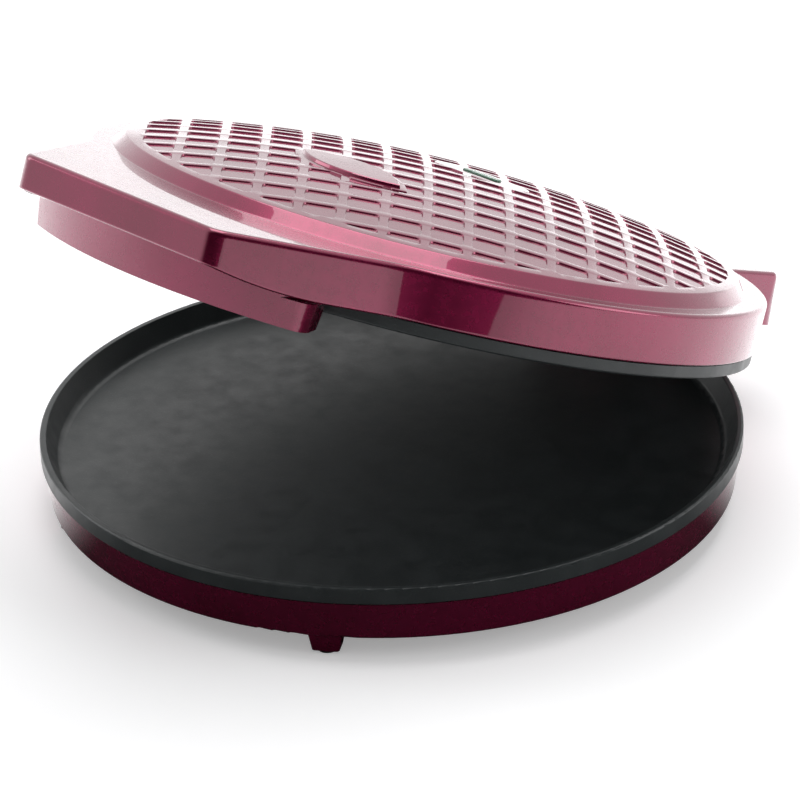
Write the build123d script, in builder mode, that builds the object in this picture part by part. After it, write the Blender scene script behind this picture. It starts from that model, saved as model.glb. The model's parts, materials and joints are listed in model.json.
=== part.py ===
"""Electric pizza maker: a round countertop cooker with a hinged, domed lid.

Everything is drawn with the lid shut, around the middle of the lower plate, with Z = 0 on the
top of its rim, the handle towards -Y and the hinge at +Y. keep() then opens the lid pieces by
the rest angle and stands the whole thing on the floor.
"""

import os
from math import atan2, cos, degrees, hypot, radians, sin, sqrt, tan

from build123d import *

# Baking plates
plate_radius = 162.0  # outside of the lower plate's rim
lower_band = 7.3  # black band of the lower plate that shows above the casing
lower_lip = 2.9  # width of the rim's top face
upper_plate_radius = 157.8
upper_band = 5.7
upper_lip = 4.2
pan_depth = 11.0  # from a rim to the flat of its plate
pan_slope = 5.5  # how far the side of a pan runs in over its depth
plate_wall = 2.4
shut_gap = 0.4  # between the two rims when the lid is down

# Heating elements, one under each plate
element_ring = 105.0  # radius of the tube's centre line
element_dia = 6.4
element_bend = 10.0  # radius where the tube turns out to its ends
element_half_gap = 19.8  # from the middle plane to each straight end
element_reach = 125.0  # how far back the tube runs
pin_dia = 3.0
pin_length = 9.0
heater_room = 8.8  # from a plate to its heat shield
shield_wall = 0.5
shield_radius = 136.0
play = 0.1  # small working gap between fixed pieces

# Base casing
base_wall = 2.4
floor_wall = 2.2
floor_room = 1.8  # from the casing's floor to the lower heat shield
seam_gap = 0.8  # dark line between the black band and the casing
casing_inset = 0.8  # casing's top edge inside the rim
base_draft = 2.6  # radius lost from top to bottom
base_edge = 2.5  # rounding of the lower edge
foot_height = 8.2
foot_top = (15.5, 13.0)  # across and along the radius
foot_bottom = (12.3, 10.5)
foot_ring = 150.5
foot_angle = 34.0  # each foot's turn from the front or rear middle line
pad_dia = 9.0
pad_proud = 1.6
pad_sunk = 1.4
vent_length = 26.0
vent_width = 3.0
vent_ring = 90.0
vent_count = 16

# Fixing of the plates
boss_ring = 128.0
boss_count = 4
boss_dia = 11.0
screw_dia = 4.0
screw_head_dia = 7.4
screw_head = 2.2
screw_bite = 5.0  # length of thread in a blind boss
thread_play = 0.05
stub_dia = 8.0
stub_ring = 116.0
clip_wall = 0.8
clip_width = 10.0
clip_length = 23.0
clip_angles = (0.0, 180.0, 270.0)
rivet_dia = 3.0
rivet_head_dia = 5.6
rivet_head = 0.9

# Thermostat and thermal fuses
thermostat_dia = 17.0
thermostat_ring = 55.0
thermostat_angle = 225.0
fuse_length = 18.0
fuse_ring = 70.0
fuse_angle = 45.0
strap_span = 26.0  # between the two rivets of a strap

# Hinge
hinge_setback = 20.3  # hinge axis behind the rim
hinge_drop = 12.2  # hinge axis below the rim
pin_radius = 3.0
pin_play = 0.05
pin_head_radius = 4.5
pin_head = 1.5
knuckle_radius = 9.0
knuckle_inner = 9.0
knuckle_outer = 22.0
knuckle_gap = 0.5
lug_radius = 11.0
lug_width = 10.0
rest_open = 21.6  # how far the lid stands open at rest, in degrees

# Lid casing
lid_radius = 158.6
lid_wall = 2.4
lid_edge_low = 6.5  # lower edge of the round wall above the rim
shoulder_height = 29.4  # flat ring around the dome
shoulder_round = 2.2
dome_radius = 143.3
dome_foot = 148.0
dome_edge = 35.2  # where the dome's side meets its top
dome_rise = 15.2  # from that edge to the middle
dome_round = 1.6

# Handle and rear block of the lid
handle_reach = 200.0
handle_half = 60.5  # half width at the front, before its corners are rounded
handle_corner = 9.0
handle_flare = 28.0  # how far its sides open towards the dome, in degrees
handle_neck = 70.0  # radius where the sides run into the round wall
handle_lip_low = 14.2  # lower edge of the front
block_half = 68.0
block_top_back = 180.0
block_low_back = 183.8
block_low = 3.4
block_round = 4.0

# Skirt under the handle
skirt_radius = 181.5
skirt_inner = 163.6
skirt_half_angle = 28.3
skirt_corner = 6.0
skirt_low = -6.6
skirt_draft = 8.0  # how far its wall flares upwards, in degrees
skirt_wall = 2.4
cover_wall = 2.0
cover_level = 15.0  # underside of the cover inside the handle
cover_gap = 0.4  # around covers that sit inside a wall
handle_ramp = -150.0  # where the lower edge starts to rise towards the handle
handle_screw_x = 25.0
handle_screw_y = -172.0
rear_screw_x = 45.0
rear_screw_y = 170.0
tab_edge = 8.0  # metal around the screw holes of the upper heat shield

# Diamond pattern on the dome
pocket_pitch = 18.62
pocket_side = 14.8
pocket_corner = 2.2
pocket_depth = 1.2
pocket_turn = 43.6
pocket_shift = (3.2, 10.8)  # one pocket's centre along the pattern's own axes
pocket_field = 138.0  # radius that the pattern fills
plaque_centre = -60.0
plaque_half = 31.0
plaque_width = 25.0
plaque_proud = 1.5

# Lamp and small parts
lamp_centre = 29.0
lamp_length = 22.0
lamp_width = 7.5
lamp_proud = 0.8
lamp_flange = 1.6
lamp_seat_half = 26.0
lamp_seat_width = 24.0
lamp_holder_depth = 9.0
neon_dia = 5.0
neon_length = 16.0
block_size = (30.0, 9.0, 9.5)
block_centre = 146.0
wire_dia = 2.6
gland_angle = 115.0
bush_height = 8.2  # gland and grommet centres above the casing's underside
gland_radius = 4.9
gland_flange = 5.8
gland_bore = 3.6
gland_flange_wall = 1.5
gland_inside = 5.0
grommet_radius = 4.0
grommet_flange = 5.4
grommet_bore = 2.6
grommet_flange_wall = 1.2

# Heights and places worked out from the sizes above
plate_under = -pan_depth - plate_wall
shield_top = plate_under - heater_room
floor_top = shield_top - shield_wall - floor_room
casing_bottom = floor_top - floor_wall
casing_top = -lower_band - seam_gap
casing_radius = plate_radius - casing_inset
upper_under = shut_gap + pan_depth + plate_wall
upper_shield = upper_under + heater_room
rest_level = casing_bottom - foot_height - pad_proud
hinge_y = plate_radius + hinge_setback
hinge_z = -hinge_drop
stub_height = element_dia + 2 * play
clip_level = plate_under - stub_height
element_level = plate_under - play - element_dia / 2
dome_ball = (dome_radius**2 + dome_rise**2) / (2 * dome_rise)
dome_top = dome_edge + dome_rise
boss_angles = [45 + 360 / boss_count * i for i in range(boss_count)]
tiny = 0.01

# The rest pose: the lid turned about the hinge, the box centred over the origin
hinge_axis = Axis((0, hinge_y, hinge_z), (1, 0, 0))
open_turn = radians(rest_open)
lid_back = (block_top_back - hinge_y) * cos(open_turn) + (shoulder_height - hinge_z) * sin(open_turn)
lid_front = (handle_lip_low - hinge_z) * sin(open_turn) - (handle_reach + hinge_y) * cos(open_turn)
box_back = hinge_y + max(lid_back, lug_radius)
box_front = min(hinge_y + lid_front, -plate_radius)
origin_y = (box_back + box_front) / 2
to_floor = Location((0, -origin_y, -rest_level))

os.makedirs("parts", exist_ok=True)


def keep(piece, label, on_lid=False):
    """Put one finished piece in the rest pose, name it and write its file."""
    if on_lid:
        piece = piece.rotate(hinge_axis, -rest_open)
    piece = piece.moved(to_floor)
    piece.label = label
    export_step(piece, f"parts/{label}.step")


def ring_edges(part, radius, height):
    """Circular edges of a turned piece at one radius and height."""
    return part.edges().filter_by(
        lambda edge: edge.geom_type == GeomType.CIRCLE
        and abs(edge.radius - radius) < tiny
        and abs(edge.arc_center.Z - height) < tiny
    )


def turned(points):
    """A solid of revolution from a closed profile of (radius, height) points."""
    with BuildPart() as body:
        with BuildSketch(Plane.XZ):
            with BuildLine():
                Polyline(*points, close=True)
            make_face()
        revolve(axis=Axis.Z)
    return body.part


def post(x, y, radius, low, high):
    """An upright round post."""
    with BuildPart() as body:
        with BuildSketch(Plane.XY.offset(low)):
            with Locations((x, y)):
                Circle(radius)
        extrude(amount=high - low)
    return body.part


def ring_places(radius, angles):
    """Points at one radius, for a list of angles."""
    return [(radius * cos(radians(a)), radius * sin(radians(a))) for a in angles]


def baking_plate(radius, band, lip, seat, up, stubs):
    """A plate with its rim at height seat; up is 1 for the upper plate, -1 for the lower."""
    lip_in = radius - lip
    flat = lip_in - pan_slope
    band_in = radius - plate_wall
    pocket_top = band / 2
    profile = [
        (0, pan_depth),
        (flat, pan_depth),
        (lip_in, 0),
        (radius, 0),
        (radius, band),
        (band_in, band),
        (band_in, pocket_top),
        (flat + plate_wall * 0.85, pan_depth + plate_wall),
        (0, pan_depth + plate_wall),
    ]
    with BuildPart() as plate:
        add(turned([(r, seat + up * z) for r, z in profile]))
        fillet(ring_edges(plate, flat, seat + up * pan_depth), 3.5)
        fillet(ring_edges(plate, lip_in, seat), 0.7)
        fillet(ring_edges(plate, radius, seat), min(1.0, band / 3))
        under = seat + up * (pan_depth + plate_wall)
        for x, y in ring_places(boss_ring, boss_angles):
            add(post(x, y, boss_dia / 2, under, under + up * heater_room))
        for x, y in stubs:
            add(post(x, y, stub_dia / 2, under, under + up * stub_height))
        for x, y in ring_places(boss_ring, boss_angles):
            end = under + up * heater_room
            add(post(x, y, screw_dia / 2 + thread_play, end - up * screw_bite, end), mode=Mode.SUBTRACT)
        for x, y in stubs:
            end = under + up * stub_height
            hole = post(x, y, rivet_dia / 2 + thread_play, end - up * screw_bite, end)
            add(hole, mode=Mode.SUBTRACT)
    return plate.part


def strap_places(ring, angle):
    """The two rivet points of a strap that lies across the radius."""
    a = radians(angle)
    half = strap_span / 2
    return [(ring * cos(a) + s * half * sin(a), ring * sin(a) - s * half * cos(a)) for s in (1, -1)]


def bent_tube(level):
    """The ring of the heating tube, its two ends turned out towards the hinge, and their pins."""
    turn_x = element_half_gap + element_bend
    turn_y = sqrt((element_ring + element_bend) ** 2 - turn_x**2)
    share = element_ring / (element_ring + element_bend)
    meet = Vector(turn_x * share, turn_y * share)
    out = Vector(element_half_gap, turn_y)
    centre = Vector(turn_x, turn_y)
    middle = centre + ((meet - centre) + (out - centre)).normalized() * element_bend
    right = [(p.X, p.Y) for p in (out, middle, meet)]
    left = [(-x, y) for x, y in right]
    start = (element_half_gap, element_reach)
    with BuildPart() as tube:
        with BuildLine(Plane.XY.offset(level)):
            Line(start, right[0])
            ThreePointArc(*right)
            ThreePointArc(right[2], (0, -element_ring), left[2])
            ThreePointArc(left[2], left[1], left[0])
            Line(left[0], (-start[0], start[1]))
        with BuildSketch(Plane((*start, level), z_dir=(0, -1, 0))):
            Circle(element_dia / 2)
        sweep()
        for side in (1, -1):
            with BuildSketch(Plane((side * start[0], start[1], level), z_dir=(0, 1, 0))):
                Circle(pin_dia / 2)
            extrude(amount=pin_length)
    return tube.part


def strip(centre, length, width, angle, holes):
    """A flat steel strip under a plate, with its rivet holes."""
    with BuildPart() as bar:
        with BuildSketch(Plane.XY.offset(clip_level - clip_wall)):
            with Locations(Location((*centre, 0), (0, 0, angle))):
                SlotOverall(length, width)
            with Locations(*holes):
                Circle(rivet_dia / 2 + thread_play, mode=Mode.SUBTRACT)
        extrude(amount=clip_wall)
    return bar.part


def rivets(places):
    """Rivets that hold the strips to the blind stubs of a plate, seen from under the lower plate."""
    seat = clip_level - clip_wall
    with BuildPart() as group:
        for x, y in places:
            add(post(x, y, rivet_head_dia / 2, seat - rivet_head, seat))
            add(post(x, y, rivet_dia / 2, seat, clip_level + screw_bite - 4 * play))
    return group.part


def screws(places, seat, reach, up):
    """Round-headed screws with the head on one side of seat and the shank on the other."""
    with BuildPart() as group:
        for x, y in places:
            add(post(x, y, screw_head_dia / 2, seat - up * screw_head, seat))
            add(post(x, y, screw_dia / 2, seat, seat + up * reach))
    return group.part


def wires(routes, bend):
    """Thin insulated wires along bent routes."""
    with BuildPart() as group:
        for route in routes:
            with BuildLine() as line:
                FilletPolyline(*route, radius=bend)
            path = line.wires()[0]
            with BuildSketch(Plane(path @ 0, z_dir=path % 0)):
                Circle(wire_dia / 2)
            sweep(path=path)
    return group.part


def across_level(piece):
    """The same piece above the upper plate instead of below the lower one."""
    return mirror(piece, about=Plane.XY.offset(shut_gap / 2))


def bush(radius, flange, bore, flange_wall, length):
    """A flanged bush along Z: the flange stands above Z = 0 and the neck runs below it."""
    with BuildPart() as body:
        with BuildSketch():
            Circle(flange)
        extrude(amount=flange_wall)
        with BuildSketch():
            Circle(radius)
        extrude(amount=-length)
        fillet(body.edges().sort_by(Axis.Z)[-1], flange_wall / 2)
        Hole(bore)
    return body.part


# Lower plate, its heating element and what is fixed under it
clip_stubs = ring_places(stub_ring, clip_angles)
thermostat_stubs = strap_places(thermostat_ring, thermostat_angle)
fuse_stubs = strap_places(fuse_ring, fuse_angle)
lower_stubs = clip_stubs + thermostat_stubs + fuse_stubs
upper_stubs = clip_stubs + fuse_stubs

lower_plate = baking_plate(plate_radius, lower_band, lower_lip, 0, -1, lower_stubs)
keep(lower_plate, "lower_plate")
upper_plate = baking_plate(upper_plate_radius, upper_band, upper_lip, shut_gap, 1, upper_stubs)
keep(upper_plate, "upper_plate", on_lid=True)

element = bent_tube(element_level)
keep(element, "lower_heating_element")
keep(across_level(element), "upper_heating_element", on_lid=True)

with BuildPart() as element_clips:
    for angle in clip_angles:
        middle = stub_ring + clip_width / 2 - clip_length / 2
        centre = ring_places(middle, [angle])[0]
        hole = ring_places(stub_ring, [angle])[0]
        add(strip(centre, clip_length, clip_width, angle, [hole]))
keep(element_clips.part, "lower_element_clips")
keep(across_level(element_clips.part), "upper_element_clips", on_lid=True)

clip_rivets = rivets(clip_stubs)
keep(clip_rivets, "lower_clip_rivets")
keep(across_level(clip_rivets), "upper_clip_rivets", on_lid=True)

thermostat_place = ring_places(thermostat_ring, [thermostat_angle])[0]
with BuildPart() as thermostat:
    add(post(*thermostat_place, thermostat_dia / 2, clip_level + clip_wall, plate_under))
    add(post(*thermostat_place, thermostat_dia / 2 - 2, clip_level, clip_level + clip_wall))
keep(thermostat.part, "thermostat")
strap_length = strap_span + clip_width
keep(
    strip(thermostat_place, strap_length, clip_width, thermostat_angle + 90, thermostat_stubs),
    "thermostat_strap",
)
keep(rivets(thermostat_stubs), "thermostat_rivets")

fuse_place = ring_places(fuse_ring, [fuse_angle])[0]
fuse_along = Vector(*ring_places(1, [fuse_angle])[0])
with BuildPart() as thermal_fuse:
    fuse_start = Vector(*fuse_place, element_level) - fuse_along * (fuse_length / 2)
    with BuildSketch(Plane(fuse_start, z_dir=fuse_along)):
        Circle(element_dia / 2)
    extrude(amount=fuse_length)
fuse_strap = strip(fuse_place, strap_length, clip_width, fuse_angle + 90, fuse_stubs)
fuse_rivets = rivets(fuse_stubs)
keep(thermal_fuse.part, "lower_thermal_fuse")
keep(fuse_strap, "lower_fuse_strap")
keep(fuse_rivets, "lower_fuse_rivets")
keep(across_level(thermal_fuse.part), "upper_thermal_fuse", on_lid=True)
keep(across_level(fuse_strap), "upper_fuse_strap", on_lid=True)
keep(across_level(fuse_rivets), "upper_fuse_rivets", on_lid=True)

# Heat shields
boss_places = ring_places(boss_ring, boss_angles)
screw_hole = screw_dia / 2 + 2 * play
with BuildPart() as lower_heat_shield:
    with BuildSketch(Plane.XY.offset(shield_top - shield_wall)):
        Circle(shield_radius)
        with Locations(*boss_places):
            Circle(screw_hole, mode=Mode.SUBTRACT)
    extrude(amount=shield_wall)
keep(lower_heat_shield.part, "lower_heat_shield")

handle_screws = [(-handle_screw_x, handle_screw_y), (handle_screw_x, handle_screw_y)]
rear_screws = [(-rear_screw_x, rear_screw_y), (rear_screw_x, rear_screw_y)]
wire_rise = element_reach + pin_length + 7
wire_rises = [(-element_half_gap, wire_rise), (element_half_gap, wire_rise)]
with BuildPart() as upper_heat_shield:
    with BuildSketch(Plane.XY.offset(upper_shield)):
        Circle(shield_radius)
        with Locations((0, handle_screw_y / 2)):
            Rectangle(2 * (handle_screw_x + tab_edge), tab_edge * 2 - handle_screw_y)
        with Locations((0, rear_screw_y / 2)):
            Rectangle(2 * (rear_screw_x + tab_edge), tab_edge * 2 + rear_screw_y)
        with Locations(*boss_places, *handle_screws, *rear_screws):
            Circle(screw_hole, mode=Mode.SUBTRACT)
        with Locations(*wire_rises):
            Circle(wire_dia, mode=Mode.SUBTRACT)
    extrude(amount=shield_wall)
keep(upper_heat_shield.part, "upper_heat_shield", on_lid=True)

# Screws
head_room = screw_head + 2 * play
lower_seat = casing_bottom + head_room
lower_reach = shield_top + screw_bite - 3 * play - lower_seat
keep(screws(boss_places, lower_seat, lower_reach, 1), "lower_plate_screws")
upper_seat = upper_shield + shield_wall
upper_reach = shield_wall + screw_bite - 3 * play
keep(screws(boss_places, upper_seat, upper_reach, -1), "upper_plate_screws", on_lid=True)
boss_hole_top = shoulder_height - 1.5
cover_seat = cover_level + head_room
cover_reach = boss_hole_top - 3 * play - cover_seat
keep(screws(handle_screws, cover_seat, cover_reach, 1), "handle_cover_screws", on_lid=True)
bracket_level = block_low + cover_gap
bracket_seat = bracket_level + head_room
bracket_reach = boss_hole_top - 3 * play - bracket_seat
keep(screws(rear_screws, bracket_seat, bracket_reach, 1), "hinge_bracket_screws", on_lid=True)

# Base casing
wall_low_radius = casing_radius - base_draft
lug_inner = knuckle_outer + knuckle_gap
seat_reach = casing_radius + 2 * play
pad_start = casing_radius - base_wall - 4 * play
bush_level = casing_bottom + bush_height
gland_outward = (cos(radians(gland_angle)), sin(radians(gland_angle)), 0)
gland_plane = Plane((0, 0, bush_level), z_dir=gland_outward)
grommet_plane = Plane((0, 0, bush_level), z_dir=(0, 1, 0))
foot_angles = [90 + s * foot_angle + h for h in (0, 180) for s in (1, -1)]
foot_places = ring_places(foot_ring, foot_angles)
foot_level = casing_bottom - foot_height

with BuildPart() as base_casing:
    add(
        turned(
            [
                (0, casing_bottom),
                (wall_low_radius, casing_bottom),
                (casing_radius, casing_top),
                (casing_radius - base_wall, casing_top),
                (wall_low_radius - base_wall, floor_top),
                (0, floor_top),
            ]
        )
    )
    fillet(ring_edges(base_casing, wall_low_radius, casing_bottom), base_edge)
    for x, y in boss_places:
        add(post(x, y, boss_dia / 2, floor_top, shield_top - shield_wall))
    for ring in (vent_ring - vent_length / 2 - 3, vent_ring + vent_length / 2 + 3):
        with BuildSketch(Plane.XY.offset(floor_top)):
            Circle(ring + floor_wall / 2)
            Circle(ring - floor_wall / 2, mode=Mode.SUBTRACT)
        extrude(amount=floor_room)
    for (x, y), angle in zip(foot_places, foot_angles):
        along = (cos(radians(angle)), sin(radians(angle)), 0)
        root = Plane((x, y, floor_top - floor_wall / 2), x_dir=along, z_dir=(0, 0, -1))
        with BuildSketch(root):
            RectangleRounded(foot_top[1], foot_top[0], 1.5)
        with BuildSketch(root.offset(foot_height + floor_wall / 2)):
            RectangleRounded(foot_bottom[1], foot_bottom[0], 1.5)
        loft()
    for side in (-lug_inner - lug_width, lug_inner):
        with BuildSketch(Plane.YZ.offset(side)):
            Polygon(
                (wall_low_radius - 1.6 * base_wall, hinge_z - lug_radius),
                (plate_radius - 2 * base_wall, casing_top),
                (plate_radius + 3 * cover_gap, casing_top),
                (plate_radius + 3 * cover_gap, hinge_z + lug_radius),
                (hinge_y, hinge_z + lug_radius),
                (hinge_y, hinge_z - lug_radius),
                align=None,
            )
            with Locations((hinge_y, hinge_z)):
                Circle(lug_radius)
        extrude(amount=lug_width)
    for plane, seat in ((gland_plane, gland_flange), (grommet_plane, grommet_flange)):
        with BuildSketch(plane.offset(pad_start)):
            Circle(seat + 2 * cover_gap)
        extrude(amount=seat_reach - pad_start)
    for plane, hole in ((gland_plane, gland_radius), (grommet_plane, grommet_radius)):
        with BuildSketch(plane.offset(pad_start - base_wall - base_draft)):
            Circle(hole + thread_play)
        extrude(amount=seat_reach, mode=Mode.SUBTRACT)
    for x, y in boss_places:
        add(post(x, y, screw_hole, casing_bottom, shield_top), mode=Mode.SUBTRACT)
        add(post(x, y, screw_head_dia / 2 + cover_gap, casing_bottom, lower_seat), mode=Mode.SUBTRACT)
    for x, y in foot_places:
        add(post(x, y, pad_dia / 2 + thread_play, foot_level, foot_level + pad_sunk), mode=Mode.SUBTRACT)
    with BuildSketch(Plane.XY.offset(casing_bottom)):
        with PolarLocations(vent_ring, vent_count, start_angle=180 / vent_count):
            SlotOverall(vent_length, vent_width)
    extrude(amount=floor_wall, mode=Mode.SUBTRACT)
    with BuildSketch(Plane.YZ.offset(-lug_inner - lug_width)):
        with Locations((hinge_y, hinge_z)):
            Circle(pin_radius + 0.4 * pin_play)
    extrude(amount=2 * (lug_inner + lug_width), mode=Mode.SUBTRACT)
keep(base_casing.part, "base_casing")

with BuildPart() as foot_pads:
    for x, y in foot_places:
        add(post(x, y, pad_dia / 2, rest_level, foot_level + pad_sunk))
    fillet(ring_edges(foot_pads, pad_dia / 2, rest_level), 0.5)
keep(foot_pads.part, "foot_pads")

gland_length = seat_reach - pad_start + gland_inside
gland = bush(gland_radius, gland_flange, gland_bore, gland_flange_wall, gland_length)
keep(gland_plane.offset(seat_reach).location * gland, "cord_gland")
grommet_length = seat_reach - pad_start + base_wall
grommet = bush(grommet_radius, grommet_flange, grommet_bore, grommet_flange_wall, grommet_length)
keep(grommet_plane.offset(seat_reach).location * grommet, "base_lead_grommet")

# Terminal blocks and wires
with BuildPart() as base_terminal_block:
    with BuildSketch(Plane.XY.offset(floor_top)):
        with Locations((0, block_centre)):
            RectangleRounded(block_size[0], block_size[1], 1.0)
    extrude(amount=block_size[2])
keep(base_terminal_block.part, "base_terminal_block")
pin_end = element_reach + pin_length
base_routes = [
    [
        (side * element_half_gap, pin_end, element_level),
        (side * element_half_gap, block_centre, element_level),
        (side * block_size[0] / 2, block_centre, element_level),
    ]
    for side in (1, -1)
]
keep(wires(base_routes, 3.5), "base_wires")

lid_block_centre = element_ring + 8
with BuildPart() as lid_terminal_block:
    with BuildSketch(Plane.XY.offset(upper_seat)):
        with Locations((0, lid_block_centre)):
            RectangleRounded(block_size[0], block_size[1], 1.0)
    extrude(amount=block_size[2])
keep(lid_terminal_block.part, "lid_terminal_block", on_lid=True)
upper_element = shut_gap - element_level
wire_level = upper_seat + block_size[2] / 2
lid_routes = [
    [
        (side * element_half_gap, pin_end, upper_element),
        (side * element_half_gap, wire_rise, upper_element),
        (side * element_half_gap, wire_rise, wire_level),
        (side * element_half_gap, lid_block_centre, wire_level),
        (side * block_size[0] / 2, lid_block_centre, wire_level),
    ]
    for side in (1, -1)
]
keep(wires(lid_routes, 3.0), "lid_wires", on_lid=True)

# Hinge pins
for side, label in ((-1, "hinge_pin_left"), (1, "hinge_pin_right")):
    with BuildPart() as hinge_pin:
        outer = lug_inner + lug_width
        turn = Plane((side * outer, hinge_y, hinge_z), z_dir=(side, 0, 0))
        with BuildSketch(turn):
            Circle(pin_head_radius)
        extrude(amount=pin_head)
        with BuildSketch(turn):
            Circle(pin_radius)
        extrude(amount=knuckle_inner - outer - 3 * play)
        fillet(hinge_pin.edges().sort_by(Axis.X)[-1 if side > 0 else 0], pin_head / 3)
    keep(hinge_pin.part, label)

# Hinge bracket that closes the rear block of the lid
bracket_back = block_low_back - lid_wall - 2 * cover_gap
bracket_front = lid_radius + cover_gap * 6
with BuildPart() as hinge_bracket:
    with BuildSketch(Plane.XY.offset(bracket_level)) as bracket_face:
        with Locations((0, (bracket_back + bracket_front) / 2)):
            Rectangle(2 * (block_half - lid_wall - cover_gap), bracket_back - bracket_front)
        fillet(bracket_face.vertices().group_by(Axis.Y)[-1], block_round)
    extrude(amount=cover_wall)
    for side in (-knuckle_outer, knuckle_inner):
        with BuildSketch(Plane.YZ.offset(side)):
            Polygon(
                (hinge_y - knuckle_radius, hinge_z),
                (hinge_y - knuckle_radius, bracket_level + cover_wall / 2),
                (bracket_back, bracket_level + cover_wall / 2),
                (bracket_back, hinge_z),
                align=None,
            )
            with Locations((hinge_y, hinge_z)):
                Circle(knuckle_radius)
                Circle(pin_radius + pin_play, mode=Mode.SUBTRACT)
        extrude(amount=knuckle_outer - knuckle_inner)
    for x, y in rear_screws:
        add(post(x, y, boss_dia / 2, bracket_level, upper_shield))
    for x, y in rear_screws:
        add(post(x, y, screw_hole, bracket_level, upper_shield), mode=Mode.SUBTRACT)
        add(post(x, y, screw_head_dia / 2 + cover_gap, bracket_level, bracket_seat), mode=Mode.SUBTRACT)
    hole = grommet_radius + thread_play
    add(post(0, rear_screw_y, hole, bracket_level, bracket_level + cover_wall), mode=Mode.SUBTRACT)
keep(hinge_bracket.part, "hinge_bracket", on_lid=True)
lid_grommet = bush(grommet_radius, grommet_flange, grommet_bore, grommet_flange_wall, 2 * cover_wall)
grommet_seat = Plane((0, rear_screw_y, bracket_level), z_dir=(0, 0, -1))
keep(grommet_seat.location * lid_grommet, "lid_lead_grommet", on_lid=True)

# Lid casing
roof_under = shoulder_height - lid_wall
ramp_run = handle_reach + handle_ramp
ramp_rise = handle_lip_low - lid_edge_low
ramp_radius = (ramp_run**2 + ramp_rise**2) / (2 * ramp_rise)
ramp_turn = degrees(2 * atan2(ramp_rise, ramp_run))
ball_centre = (0, 0, dome_top - dome_ball)


def lid_outline(inset):
    """The lid seen from above without its rear block, drawn in by inset."""
    flare_end = lid_radius / 2
    flare = tan(radians(handle_flare)) * (handle_reach - flare_end)
    with BuildSketch() as outline:
        Circle(lid_radius)
        Polygon(
            (-handle_half, -handle_reach),
            (handle_half, -handle_reach),
            (handle_half + flare, -flare_end),
            (-handle_half - flare, -flare_end),
            align=None,
        )
        fillet(outline.vertices().group_by(Axis.Y)[0], handle_corner)
        necks = outline.vertices().filter_by(
            lambda v: abs(hypot(v.X, v.Y) - lid_radius) < tiny and v.Y < -flare_end
        )
        fillet(necks, handle_neck)
        if inset:
            offset(amount=-inset, mode=Mode.REPLACE)
    return outline.sketch


def rear_block(inset, low, high):
    """The block behind the dome, its rear face leaning, drawn in by inset."""
    with BuildPart() as block:
        with BuildSketch(Plane.YZ.offset(inset - block_half)):
            Polygon(
                (lid_radius * 0.8, low),
                (block_low_back - inset, low),
                (block_top_back - inset, high),
                (lid_radius * 0.8, high),
                align=None,
            )
        extrude(amount=2 * (block_half - inset))
        corners = block.edges().filter_by(
            lambda edge: edge.length > high - low - tiny and edge.center().Y > lid_radius
        )
        fillet(corners.filter_by(Axis.X, reverse=True), block_round - inset / 2)
    return block.part


def dome_solid(inset):
    """The dome down to the shoulder, drawn in by inset."""
    edge = (dome_radius - inset, dome_edge - inset)
    foot = (dome_foot - inset, shoulder_height - inset)
    top = (0, dome_top - inset)
    skirting = foot[1] - lid_wall / 2
    halfway = edge[0] / 2
    halfway_height = top[1] - (dome_ball - sqrt(dome_ball**2 - halfway**2))
    with BuildPart() as dome:
        with BuildSketch(Plane.XZ):
            with BuildLine():
                Polyline(edge, foot, (foot[0], skirting), (0, skirting), top)
                ThreePointArc(top, (halfway, halfway_height), edge)
            make_face()
        revolve(axis=Axis.Z)
        fillet(ring_edges(dome, *edge), dome_round)
    return dome.part


def slot_post(length, width, low, high):
    """An upright post with a slot-shaped section at the lamp."""
    with BuildPart() as body:
        with BuildSketch(Plane.XY.offset(low)):
            with Locations((0, lamp_centre)):
                SlotOverall(length, width)
        extrude(amount=high - low)
    return body.part


def plaque_sketch(margin):
    """The lens-shaped pad near the handle, grown by margin."""
    half = plaque_half + margin
    rise = plaque_width / 2 + margin
    with BuildSketch() as pad:
        with BuildLine():
            ThreePointArc((-half, plaque_centre), (0, plaque_centre + rise), (half, plaque_centre))
            ThreePointArc((half, plaque_centre), (0, plaque_centre - rise), (-half, plaque_centre))
        make_face()
    return pad.sketch


def over_ball(sketch, level, low, high):
    """A sketch raised as a prism and trimmed to the dome's own curve shifted by level."""
    with BuildPart() as prism:
        with BuildSketch(Plane.XY.offset(low)):
            add(sketch)
        extrude(amount=high - low)
        with Locations(ball_centre):
            Sphere(dome_ball + level, mode=Mode.INTERSECT)
    return prism.part


with BuildSketch() as pockets:
    with Locations(Location((0, 0, 0), (0, 0, pocket_turn))):
        with Locations(pocket_shift):
            count = 2 * int(pocket_field / pocket_pitch) + 4
            with GridLocations(pocket_pitch, pocket_pitch, count + 1, count + 1):
                RectangleRounded(pocket_side, pocket_side, pocket_corner)
    Circle(pocket_field, mode=Mode.INTERSECT)
    add(plaque_sketch(3.0), mode=Mode.SUBTRACT)
    with Locations((0, lamp_centre)):
        SlotOverall(2 * lamp_seat_half, lamp_seat_width, mode=Mode.SUBTRACT)
pocket_faces = pockets.faces().filter_by(lambda face: face.area > pocket_side)
with BuildPart() as pocket_cut:
    with BuildSketch(Plane.XY.offset(shoulder_height)):
        add(pocket_faces)
    extrude(amount=dome_top - shoulder_height)
    with Locations(ball_centre):
        Sphere(dome_ball - pocket_depth, mode=Mode.SUBTRACT)

flange_length = lamp_length + 2 * lamp_flange
flange_width = lamp_width + 2 * lamp_flange
flange_reach = lamp_centre + flange_width / 2
lamp_roof = dome_top - dome_ball + sqrt((dome_ball - lid_wall) ** 2 - flange_reach**2)
flange_top = lamp_roof - play
flange_low = flange_top - lamp_flange
collar_low = flange_top - lamp_holder_depth
collar = (flange_length + 2 * lid_wall, flange_width + 2 * lid_wall)
room = 2 * thread_play

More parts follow.
